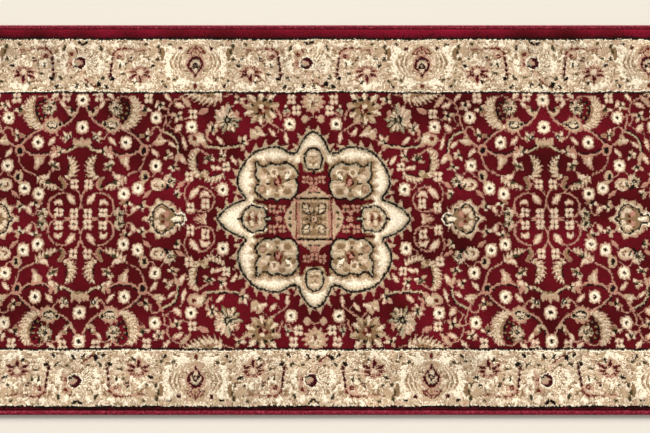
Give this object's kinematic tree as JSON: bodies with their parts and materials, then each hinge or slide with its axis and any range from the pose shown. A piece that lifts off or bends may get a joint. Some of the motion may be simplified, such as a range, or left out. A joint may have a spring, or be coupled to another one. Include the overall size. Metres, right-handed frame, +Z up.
{
  "type": "runner rug",
  "caption": "Long narrow machine-woven runner rug with floral medallion field, patterned side borders and overcast edges.",
  "frame": {"origin": "middle of the rug's footprint, on the floor", "axes": "+X along the runner, +Y across it towards the edge with the wide plain band, +Z up out of the pile"},
  "size_m": [2.5, 0.8, 0.009],
  "materials": {
    "jute": "coarse woven jute cloth, matt",
    "claret_pile": "cut pile, soft sheen",
    "cream_pile": "cut pile, soft sheen",
    "overcast_yarn": "closely wound yarn, slight lustre",
    "filler_cord": "plain twisted cord"
  },
  "bodies": {
    "root": {"ground_weave": "jute", "near_band_pile": "claret_pile", "near_border_pile": "cream_pile", "field_pile": "claret_pile", "far_border_pile": "cream_pile", "far_band_pile": "claret_pile", "far_side_overcast": "overcast_yarn", "near_side_overcast": "overcast_yarn", "left_end_overcast": "overcast_yarn", "right_end_overcast": "overcast_yarn", "far_side_filler_cord": "filler_cord", "near_side_filler_cord": "filler_cord", "left_end_filler_cord": "filler_cord", "right_end_filler_cord": "filler_cord"}
  },
  "joints": []
}
